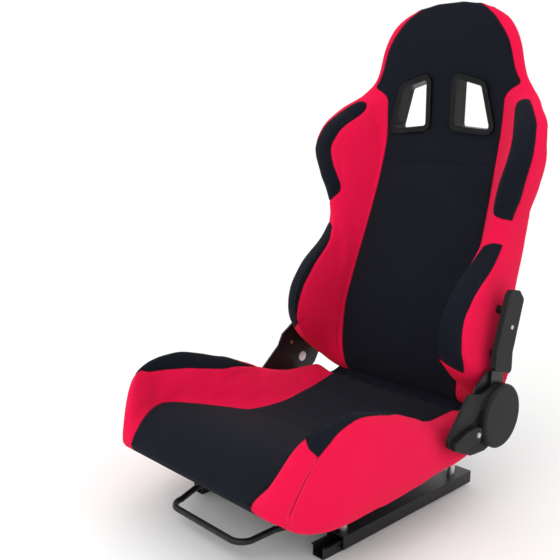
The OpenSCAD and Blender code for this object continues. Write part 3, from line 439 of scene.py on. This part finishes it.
def ring_mesh(name, points):
    """A closed mesh from a ring grid."""
    rows, columns = points.shape[:2]
    ends = np.stack([(points[r].min(0) + points[r].max(0)) / 2 for r in (0, -1)])
    mesh = bpy.data.meshes.new(name)
    quads, first_cap, last_cap = (part.tolist() for part in ring_faces(rows, columns))
    corner_points = np.concatenate([points.reshape(-1, 3), ends])
    mesh.from_pydata(corner_points.tolist(), [], quads + first_cap + last_cap)
    mesh.polygons.foreach_set("use_smooth", np.ones(len(mesh.polygons), bool))
    return mesh


def inflated(name, points, pinned, swell):
    """How far cloth moves when the form is blown up with its seams held: Cloth with pressure 4 and
    no gravity, 20 frames, each move limited softly to swell. It runs on every third point."""
    every, frames = 3, 20
    rows = np.unique(np.r_[np.arange(0, points.shape[0], every), points.shape[0] - 1])
    columns = np.arange(0, points.shape[1], every)
    coarse = points[np.ix_(rows, columns)]
    mesh = ring_mesh(name, coarse)
    cloth_object = bpy.data.objects.new(name, mesh)
    bpy.context.scene.collection.objects.link(cloth_object)
    pins = cloth_object.vertex_groups.new(name="pins")
    held = np.flatnonzero(np.append(pinned[np.ix_(rows, columns)].ravel(), [True, True]))
    pins.add(held.tolist(), 1.0, "REPLACE")
    cloth = cloth_object.modifiers.new("cloth", "CLOTH")
    cloth.settings.quality = 5
    cloth.settings.use_pressure = True
    cloth.settings.uniform_pressure_force = 4
    cloth.settings.vertex_group_mass = "pins"
    cloth.settings.effector_weights.gravity = 0
    for number in range(1, frames + 1):
        bpy.context.scene.frame_set(number)
    result = cloth_object.evaluated_get(bpy.context.evaluated_depsgraph_get()).data
    co = np.empty(len(result.vertices) * 3, np.float32)
    result.vertices.foreach_get("co", co)
    moved = co.reshape(-1, 3)[:-2].reshape(coarse.shape) - coarse
    bpy.data.objects.remove(cloth_object)
    bpy.context.scene.frame_set(1)
    length = np.maximum(np.linalg.norm(moved, axis=2, keepdims=True), 1e-9)
    moved *= swell * (1 - np.exp(-length / swell)) / length
    closed = np.concatenate([moved, moved[:, :1]], 1)
    ring_at = np.append(columns, points.shape[1])
    place = np.arange(points.shape[1])
    i = np.clip(np.searchsorted(ring_at, place, side="right") - 1, 0, len(columns) - 1)
    t = ((place - ring_at[i]) / (ring_at[i + 1] - ring_at[i]))[:, None]
    wide = closed[:, i] * (1 - t) + closed[:, i + 1] * t
    place = np.arange(points.shape[0])
    i = np.clip(np.searchsorted(rows, place, side="right") - 1, 0, len(rows) - 2)
    t = ((place - rows[i]) / (rows[i + 1] - rows[i]))[:, None, None]
    return wide[i] * (1 - t) + wide[i + 1] * t


def cushion(name, points, panel, seams, swell, sunk, clamped=False):
    """One padded cover. points is a ring grid in metres and panel is above zero where the cloth is black.
    Each row starts 'sunk' below its outline, is blown up between its seams and clamped points, and gets a
    sewn groove."""
    held_width, groove_depth, groove_width = 0.0055, 0.0018, 0.0028
    seam = np.min([distance_to(points, line) for line in seams], axis=0)
    form = points - grid_normals(points) * sunk[:, None, None]
    held = (seam < held_width) | (sunk < 0.3 * sunk.max())[:, None] | clamped
    form = form + inflated(name + "_sim", form, held, swell)
    form = form - grid_normals(form) * (groove_depth * np.exp(-((seam / groove_width) ** 2)))[..., None]
    mesh = ring_mesh(name, form)
    for key, values in (("panel", panel), ("seam", seam)):
        attribute = mesh.attributes.new(key, "FLOAT", "POINT")
        attribute.data.foreach_set("value", np.append(values.ravel(), values[[0, -1], 0]).astype(np.float32))
    rows, columns = points.shape[:2]
    closed = np.concatenate([points, points[:, :1]], 1)
    round_step = np.linalg.norm(np.diff(closed, axis=1), axis=2)
    round_length = np.concatenate([np.zeros((rows, 1)), np.cumsum(round_step, 1)], 1)
    row_length = np.append(0, np.cumsum(np.linalg.norm(np.diff(points[:, 0], axis=0), axis=1)))
    corners = np.empty(len(mesh.loops), np.int32)
    mesh.loops.foreach_get("vertex_index", corners)
    count = (rows - 1) * columns * 4
    first = (np.arange(count) // 4) % columns
    column = first + np.isin(np.arange(count) % 4, (1, 2))
    row = corners[:count] // columns
    around = round_length[row, column] - np.where(first >= columns // 2, round_length[row, -1], 0)
    co = np.empty(len(mesh.vertices) * 3, np.float32)
    mesh.vertices.foreach_get("co", co)
    ends = co.reshape(-1, 3)[corners[count:], :2]
    cloth = mesh.uv_layers.new(name="cloth")
    flat = np.concatenate([np.stack([around, row_length[row]], -1), ends])
    cloth.data.foreach_set("uv", flat.ravel().astype(np.float32))
    mesh.materials.append(cover_fabric)
    piece = bpy.data.objects.new(name, mesh)
    bpy.context.scene.collection.objects.link(piece)
    return piece


def nose_u(xr, w, x):
    """Where the section reaches x beyond the ridge: the quarter ellipse turned back to its angle."""
    return 2 + np.arcsin(np.clip((x - xr) / (w - xr), 0, 1)) * 2 / math.pi


# ---- backrest cushion ----
# Foam on the backrest frame in a sewn cover: black centre, black inserts on the
# bolsters, red between them and down the sides, and a black back. It is closed
# at the bottom and pierced by the two harness openings.
back_low, back_high, back_low_round, back_high_round = 155, 930, 26, 30
back_stations = {
    "w": [[150, 170], [176, 214], [203, 229], [250, 237], [300, 232], [380, 226], [485, 221],
          [520, 225], [585, 252], [650, 273], [690, 267], [728, 240], [755, 208], [790, 179],
          [850, 161], [890, 138], [912, 106], [924, 66], [930, 30]],
    "x1": [[150, 140], [250, 148], [450, 144], [650, 137], [740, 140], [790, 130], [850, 112],
           [900, 70], [930, 12]],
    "xr": [[150, 150], [203, 194], [300, 178], [400, 178], [485, 187], [585, 215], [650, 232],
           [728, 208], [790, 163], [850, 142], [900, 94], [930, 20]],
    "ridge": [[150, 0], [176, 6], [203, 32], [250, 84], [300, 119], [355, 130], [400, 116], [458, 70],
              [490, 60], [551, 76], [585, 90], [640, 101], [678, 88], [728, 42], [755, 9], [780, 0],
              [930, 0]],
    "front": [[150, 214], [217, 202], [300, 208], [386, 234], [485, 270], [600, 306], [680, 322], [800, 325],
              [870, 326], [930, 332]],
    "rear": [[150, 270], [300, 303], [500, 352], [590, 364], [680, 355], [800, 355], [840, 362], [880, 366],
             [930, 354]],
    "side": [[150, 258], [203, 262], [300, 276], [380, 288], [500, 322], [593, 300], [660, 279], [720, 295],
             [755, 330], [800, 352], [870, 354], [930, 344]],
    "nose": [[150, 24], [203, 40], [320, 50], [485, 38], [650, 36], [755, 22], [800, 15], [930, 12]],
}


def back_point(z, u):
    """A point of the right half of the backrest at height z and section place u, in millimetres."""
    v = {key: along_stations(table, z) for key, table in back_stations.items()}
    s = end_rounding(z, back_low, back_high, back_low_round, back_high_round)
    middle = (v["front"] + v["rear"]) / 2
    f, b, q = (middle + (v[key] - middle) * s for key in ("front", "rear", "side"))
    r = f - v["ridge"] * s
    rc = np.minimum(22, np.minimum((q - r) * 0.4, v["w"] * 0.25))
    dn = np.minimum(v["nose"], (q - r - rc) * 0.9)
    x, y = half_section(u, v["x1"], v["xr"], v["w"], f, r, b, q, dn, rc, np.minimum(140, 0.7 * v["w"]))
    return np.stack([x, y, z + 0 * u], -1)


def back_line(z, u, side):
    """A curve on the backrest in metres, from matching lists of heights and section places."""
    return back_point(np.asarray(z, float), np.asarray(u, float)) * [side * 0.001, 0.001, 0.001]


def smooth_outline(points):
    """A closed curve through (place, section place) points: cubic, each slope from the two
    neighbours, with a corner where a point is listed twice."""
    p = np.array(points, float)
    spans = []
    for i in range(len(p)):
        a, b, c, d = (p[(i + k) % len(p)] for k in (-1, 0, 1, 2))
        if (b != c).any():
            t = np.linspace(0, 1, 8, endpoint=False)[:, None]
            spans.append((2 * t**3 - 3 * t**2 + 1) * b + (t**3 - 2 * t**2 + t) * (c - a) / 2
                         + (3 * t**2 - 2 * t**3) * c + (t**3 - t**2) * (d - b) / 2)
    return np.concatenate(spans)


def inside_outline(place, u, outline):
    """Which grid points lie within a closed outline: those that an odd number of its edges pass."""
    inside = np.zeros(place.shape, bool)
    for (p0, u0), (p1, u1) in zip(outline, np.roll(outline, -1, 0)):
        if p0 != p1:
            inside ^= ((p0 > place) != (p1 > place)) & (u < (u1 - u0) * (place - p0) / (p1 - p0) + u0)
    return inside


def insert_panel(panel, seams, grid, place, u, points, curve):
    """Two black inserts, one on each bolster, with a seam round them. Returns the new panel values."""
    outline = smooth_outline(points)
    inside = inside_outline(place, u, outline)
    for side in (1, -1):
        line = curve(outline[:, 0], outline[:, 1], side)
        seams.append(np.concatenate([line, line[:1]]))
        away = distance_to(grid, seams[-1])
        black = inside & (ring_side * side > 0)
        panel = np.where(black, away, np.where(panel < 0, np.maximum(panel, -away), panel))
    return panel


back_z = spaced(back_low, back_high, back_low_round, back_high_round, 3.3)
z, u = np.meshgrid(back_z, ring_u, indexing="ij")
grid = back_point(z, u) * 0.001
grid[..., 0] *= ring_side
centre_edge = [[150, 1], [738, 1.0], [748, 1.06], [755, 1.2], [762, 1.45], [768, 1.8], [774, 1.97],
               [800, 1.96], [850, 1.98], [877, 2.08], [901, 2.25], [915, 2.5], [922, 3.0], [924, 3.6]]
rear_edge = [[150, 5.2], [880, 5.2], [905, 4.9], [918, 4.4], [924, 3.6]]
head_tip = 924
lower_insert = [(256, 2.4), (256, 2.4), (270, 2.49), (288, 2.56), (332, 2.6), (363, 2.61), (392, 2.65),
                (418, 2.7), (438, 2.72), (480, 2.72), (480, 2.72), (484, 2.4), (482, 2.18), (477, 2.02),
                (462, 1.88), (445, 1.8), (420, 1.76), (390, 1.76), (360, 1.78), (330, 1.81), (300, 1.87),
                (280, 1.98), (265, 2.2)]
wing_insert = [(743, 1.9), (743, 2.2), (743, 2.2), (731, 2.33), (707, 2.46), (688, 2.51), (655, 2.56),
               (622, 2.64), (587, 2.75), (549, 2.87), (522, 2.88), (522, 2.88), (525, 2.5), (529, 2.2),
               (533, 2.0), (540, 1.83), (550, 1.71), (564, 1.68), (583, 1.71), (602, 1.75), (622, 1.77),
               (645, 1.78), (675, 1.75), (693, 1.69), (704, 1.62), (716, 1.55), (728, 1.54), (738, 1.65)]
seams = []
# The seams' points lie closer together above head_bend, where they turn over the top of the head.
head_bend = 900
seam_z = np.concatenate([np.linspace(back_low, head_bend, 160), np.linspace(head_bend + 2, head_tip, 20)])
for side in (1, -1):
    for edge_line in (centre_edge, rear_edge):
        seams.append(back_line(seam_z, along_stations(edge_line, seam_z), side))
black = (u < along_stations(centre_edge, z)) | (u > along_stations(rear_edge, z)) | (z > head_tip)
edge = np.min([distance_to(grid, line) for line in seams], axis=0)
panel = np.where(black, edge, -edge)
panel = insert_panel(panel, seams, grid, z, u, lower_insert, back_line)
panel = insert_panel(panel, seams, grid, z, u, wing_insert, back_line)
slot_corners = np.array([[35, 690], [116, 683], [93, 766], [36, 782]])
slot_round, bezel_reach, cut_play = 6, 11, 1.5


def rounded_outline(corners, radius, grow):
    """The outline moved outwards by grow, with each corner an arc of radius + grow."""
    points = []
    for i in range(len(corners)):
        p, a, b = corners[i], corners[i - 1], corners[(i + 1) % len(corners)]
        u = (a - p) / np.linalg.norm(a - p)
        v = (b - p) / np.linalg.norm(b - p)
        half = math.acos(u @ v) / 2
        middle = p + (u + v) / np.linalg.norm(u + v) * radius / math.sin(half)
        start = p + u * radius / math.tan(half) - middle
        stop = p + v * radius / math.tan(half) - middle
        for t in np.linspace(0, 1, 7):
            turn = math.pi - 2 * half
            arm = (start * math.sin(turn * (1 - t)) + stop * math.sin(turn * t)) / math.sin(turn)
            points.append(middle + arm * (radius + grow) / radius)
    return np.array(points)


rim = rounded_outline(slot_corners, slot_round, bezel_reach) * 0.001
rim_loop = np.stack([rim[:, 0], 0 * rim[:, 0], rim[:, 1]], -1)
rim_held, rim_dip, rim_fade = 0.003, 0.0015, 0.014
clamped = np.zeros(z.shape, bool)
for side in (1, -1):
    flat = np.stack([grid[..., 0] * side, 0 * z, grid[..., 2]], -1)
    away = distance_to(flat, np.concatenate([rim_loop, rim_loop[:1]]))
    away = np.where(inside_outline(grid[..., 2], grid[..., 0] * side, rim[:, ::-1]), 0, away)
    clamped |= (away < rim_held) & ((u < 2) | (u > 5))
    dip = rim_dip * np.exp(-((away / rim_fade) ** 2))
    grid[..., 1] += np.where(u < 2, dip, np.where(u > 5, -dip, 0))
cross_seam = 614
t = np.linspace(0, 1, 30)
for side in (1, -1):
    seams.append(back_line(np.full(t.shape, cross_seam), t, side))
swell, start_depth = 0.006, 0.003
sunk = start_depth * end_rounding(back_z, back_low, back_high, back_low_round, back_high_round) ** 2
backrest = cushion("backrest_cover", grid, panel, seams, swell, sunk, clamped)


def pierce(piece, side):
    """Cuts one harness opening through the cushion with a prism of the opening's outline."""
    cut_front, cut_rear = 0.25, 0.45
    outline = rounded_outline(slot_corners, slot_round, cut_play)[::side] * 0.001 * [side, 1]
    count = len(outline)
    points = np.concatenate([np.insert(outline, 1, depth, axis=1) for depth in (cut_front, cut_rear)])
    i = np.arange(count)
    j = (i + 1) % count
    walls = np.stack([count + i, count + j, j, i], -1)
    mesh = bpy.data.meshes.new("opening")
    mesh.from_pydata(points.tolist(), [], walls.tolist() + [i.tolist(), (count + i)[::-1].tolist()])
    cutter = bpy.data.objects.new("opening", mesh)
    bpy.context.scene.collection.objects.link(cutter)
    cut = piece.modifiers.new("opening", "BOOLEAN")
    cut.object = cutter
    cut.solver = "MANIFOLD"
    with bpy.context.temp_override(object=piece, active_object=piece):
        bpy.ops.object.modifier_apply(modifier=cut.name)
    bpy.data.objects.remove(cutter)


for side in (1, -1):
    pierce(backrest, side)
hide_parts("backrest_cushion")
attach(backrest, "backrest")

# ---- squab cushion ----
# Foam on the squab frame in a sewn cover: black centre that runs over the front
# edge, a black leaf on each bolster, red between and down the sides.
squab_low, squab_high, squab_low_round, squab_high_round = -332, 197, 60, 17
squab_stations = {
    "w": [[-332, 206], [-290, 231], [-240, 247], [-130, 252], [-20, 247], [30, 242], [70, 239],
          [130, 236], [194, 222]],
    "x1": [[-332, 158], [-290, 176], [-240, 193], [-175, 168], [-123, 146], [-75, 127], [0, 125], [90, 141],
           [194, 156]],
    "xr": [[-332, 198], [-240, 218], [-60, 214], [100, 205], [194, 192]],
    "top": [[-332, 168], [-290, 182], [-240, 188], [-190, 181], [-130, 166], [-80, 154], [-20, 150],
            [90, 151], [150, 157], [197, 164]],
    "ridge": [[-332, 24], [-290, 62], [-240, 76], [-160, 90], [-80, 86], [-20, 66], [30, 44], [90, 27],
              [150, 17], [180, 12], [194, 5]],
    "base": [[-332, 112], [-290, 96], [-190, 88], [90, 91], [150, 97], [194, 111]],
    "nose": [[-332, 40], [-200, 54], [90, 44], [194, 30]],
}


def squab_point(y, u):
    """A point of the right half of the squab at place y and section place u, in millimetres."""
    v = {key: along_stations(table, y) for key, table in squab_stations.items()}
    s = end_rounding(y, squab_low, squab_high, squab_low_round, squab_high_round)
    middle = (v["top"] + v["base"]) / 2
    t = middle + (v["top"] - middle) * s
    base = middle - (middle - v["base"]) * s
    g = v["ridge"] * s
    drawn_in = (1 - s) * np.where(y < 0, 26, 14)
    w, xr = v["w"] - drawn_in, v["xr"] - drawn_in
    rc = np.minimum(24, (t - base) * 0.4)
    dn = np.minimum(v["nose"], (t - base + g - rc) * 0.9)
    x, depth = half_section(u, v["x1"], xr, w, -t, -t - g, -base, -base, dn, rc, 0.6 * w)
    return np.stack([x, y + 0 * u, -depth], -1)


def squab_line(y, u, side):
    """A curve on the squab in metres, from matching lists of places and section places."""
    return squab_point(np.asarray(y, float), np.asarray(u, float)) * [side * 0.001, 0.001, 0.001]


squab_y = spaced(squab_low, squab_high, squab_low_round, squab_high_round, 3.3)
y, u = np.meshgrid(squab_y, ring_u, indexing="ij")
grid = squab_point(y, u) * 0.001
grid[..., 0] *= ring_side
leaf_insert = [(-277, 1.96), (-277, 1.96), (-281, 2.40), (-271, 2.75), (-271, 2.75), (-252, 2.60),
               (-220, 2.43), (-160, 2.26), (-73, 2.05), (9, 1.88), (9, 1.88), (-80, 1.69), (-167, 1.61),
               (-223, 1.62), (-255, 1.70)]
seams = []
for side in (1, -1):
    t = np.linspace(squab_low, squab_high, 140)
    seams.append(squab_line(t, np.ones(t.shape), side))
edge = np.min([distance_to(grid, line) for line in seams], axis=0)
under = (u > 5) & ((y > -290) | (np.abs(grid[..., 0]) * 1000 < along_stations(squab_stations["x1"], y)))
panel = np.where((u < 1) | under, edge, -edge)
panel = insert_panel(panel, seams, grid, y, u, leaf_insert, squab_line)
for side in (1, -1):
    seams.append(squab_line([-271, -289, -301, -308, -308], [2.75, 3.0, 3.27, 3.72, 4.6], side))
sunk = start_depth * end_rounding(squab_y, squab_low, squab_high, squab_low_round, squab_high_round) ** 2
squab = cushion("squab_cover", grid, panel, seams, swell, sunk)
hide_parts("squab_cushion")
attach(squab, "seat")

# ---- crease flap ----
# A strip of the black fabric closes the crease between squab and backrest. It hangs a little between them.
flap_path = np.array([[184, 147], [191, 150], [198, 152], [204, 151], [210, 151], [216, 153],
                      [222, 157], [228, 162]])
flap_steps = 90
across = np.linspace(-1, 1, flap_steps)
half_width = np.linspace(205, 172, len(flap_path))
sag = 2.5 * np.sin(np.linspace(0, math.pi, len(flap_path)))
gather = 1 + 0.35 * np.cos(across * 31)
flap_points = np.stack([np.outer(half_width, across), np.repeat(flap_path[:, :1], flap_steps, 1),
                        flap_path[:, 1:] - np.outer(sag, gather)], -1) * 0.001
i, j = np.meshgrid(np.arange(len(flap_path) - 1), np.arange(flap_steps - 1), indexing="ij")
corner = (i * flap_steps + j).ravel()
flap_mesh = bpy.data.meshes.new("crease_flap")
flap_faces = np.stack([corner, corner + 1, corner + flap_steps + 1, corner + flap_steps], -1)
flap_mesh.from_pydata(flap_points.reshape(-1, 3).tolist(), [], flap_faces.tolist())
flap_mesh.polygons.foreach_set("use_smooth", np.ones(len(flap_mesh.polygons), bool))
for key, value in (("panel", 0.05), ("seam", 0.05)):
    attribute = flap_mesh.attributes.new(key, "FLOAT", "POINT")
    attribute.data.foreach_set("value", np.full(len(flap_mesh.vertices), value, np.float32))
cloth = flap_mesh.uv_layers.new(name="cloth")
corners = np.empty(len(flap_mesh.loops), np.int32)
flap_mesh.loops.foreach_get("vertex_index", corners)
cloth.data.foreach_set("uv", flap_points.reshape(-1, 3)[corners, :2].astype(np.float32).ravel())
flap_mesh.materials.append(cover_fabric)
flap = bpy.data.objects.new("crease_flap", flap_mesh)
bpy.context.scene.collection.objects.link(flap)
flap_length = np.linalg.norm(np.diff(flap_points[:, flap_steps // 2], axis=0), axis=1).sum()
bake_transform(flap)

# ---- thread ----
# Topstitching in red thread beside the squab's side seams and under the wing inserts:
# short arched stitches that dip into the cloth at both ends.
thread, n, shader = new_material("red_thread", Roughness=0.7, Specular_IOR_Level=0.25)
place = n.add("TexCoord").outputs["Object"]
twist = n.add("TexWave", {"wave_type": "BANDS"}, Vector=place, Scale=900.0, Distortion=1.0).outputs["Fac"]
# Painted shade and highlight along the thread: the colour is darker in the twist's grooves and lighter on its
# ridges, from the same bands as the bump.
n.feed(shader.inputs["Base Color"], n.mix(twist, (0.42, 0.02, 0.06, 1), (0.86, 0.16, 0.22, 1)))
n.feed(shader.inputs["Normal"], n.bump(twist, 0.0002, 0.6))


def stitches(name, piece, lines, pitch, length, thick):
    """Stitches along lines over the cover: each is a six-sided tube of five rings that follows the
    surface from end to end, with its middle raised and its ends sunk by half the thread."""
    rings, sides, look_ahead = 5, 6, 0.0005
    share = np.linspace(0, 1, rings)
    guesses, aheads = [], []
    for line in lines:
        steps = np.append(0, np.cumsum(np.linalg.norm(np.diff(line, axis=0), axis=1)))
        starts = np.arange(pitch / 2, steps[-1] - length, pitch)
        at = (starts[:, None] + share * length).ravel()
        guesses.append(np.stack([np.interp(at, steps, line[:, k]) for k in range(3)], -1))
        aheads.append(np.stack([np.interp(at + look_ahead, steps, line[:, k]) for k in range(3)], -1))
    guesses = np.concatenate(guesses)
    along = np.concatenate(aheads) - guesses
    along /= np.linalg.norm(along, axis=1, keepdims=True)
    hits = [piece.closest_point_on_mesh(guess) for guess in guesses.tolist()]
    spot, normal = (np.array([hit[k][:] for hit in hits]) for k in (1, 2))
    across = np.cross(normal, along)
    stitch_count = len(guesses) // rings
    arch = np.tile(np.sin(math.pi * share), stitch_count)[:, None]
    centre = spot + normal * thick * (arch - 0.5) * 0.8
    radius = thick * (0.28 + 0.22 * arch)
    turn = (np.arange(sides) * 2 * math.pi / sides)[:, None]
    arm = np.cos(turn) * across[:, None] + np.sin(turn) * normal[:, None]
    points = centre[:, None] + radius[:, None] * arm
    i, j = np.meshgrid(np.arange(rings - 1) * sides, np.arange(sides), indexing="ij")
    a, b = i + j, i + (j + 1) % sides
    base = np.arange(stitch_count)[:, None] * rings * sides
    quads = base[..., None] + np.stack([a, a + sides, b + sides, b], -1).reshape(-1, 4)
    first_end = base + np.arange(sides)
    last_end = (base + (rings - 1) * sides + np.arange(sides))[:, ::-1]
    faces = quads.reshape(-1, 4).tolist() + first_end.tolist() + last_end.tolist()
    mesh = bpy.data.meshes.new(name)
    mesh.from_pydata(points.reshape(-1, 3).tolist(), [], faces)
    mesh.polygons.foreach_set("use_smooth", np.ones(len(mesh.polygons), bool))
    mesh.materials.append(thread)
    stitching = bpy.data.objects.new(name, mesh)
    bpy.context.scene.collection.objects.link(stitching)
    return stitching


stitch_pitch, stitch_length, thread_thick, seam_gap = 0.0042, 0.0030, 0.0007, 2.5
t = np.linspace(0, 1, 60)
seam_y = along_stations([[0, -271], [0.2, -289], [0.45, -301], [0.75, -308], [1, -309]], t)
seam_u = along_stations([[0, 2.75], [0.2, 3.0], [0.45, 3.27], [0.75, 3.72], [1, 4.3]], t)
rows_of_stitches = [squab_line(seam_y + shift, seam_u, side) for side in (1, -1)
                    for shift in (-seam_gap, seam_gap)]
squab_thread = stitches("squab_stitching", squab, rows_of_stitches, stitch_pitch, stitch_length,
                        thread_thick)
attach(squab_thread, "seat")
wing_foot, wing_lift = 517.5, 7
wing_u = np.linspace(2.15, 2.85, 20)
wing_z = wing_foot + wing_lift * np.linspace(1, 0, 20) ** 1.5
rows_of_stitches = [back_line(wing_z, wing_u, side) for side in (1, -1)]
wing_thread = stitches("wing_stitching", backrest, rows_of_stitches, stitch_pitch, stitch_length,
                       thread_thick)
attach(wing_thread, "backrest")
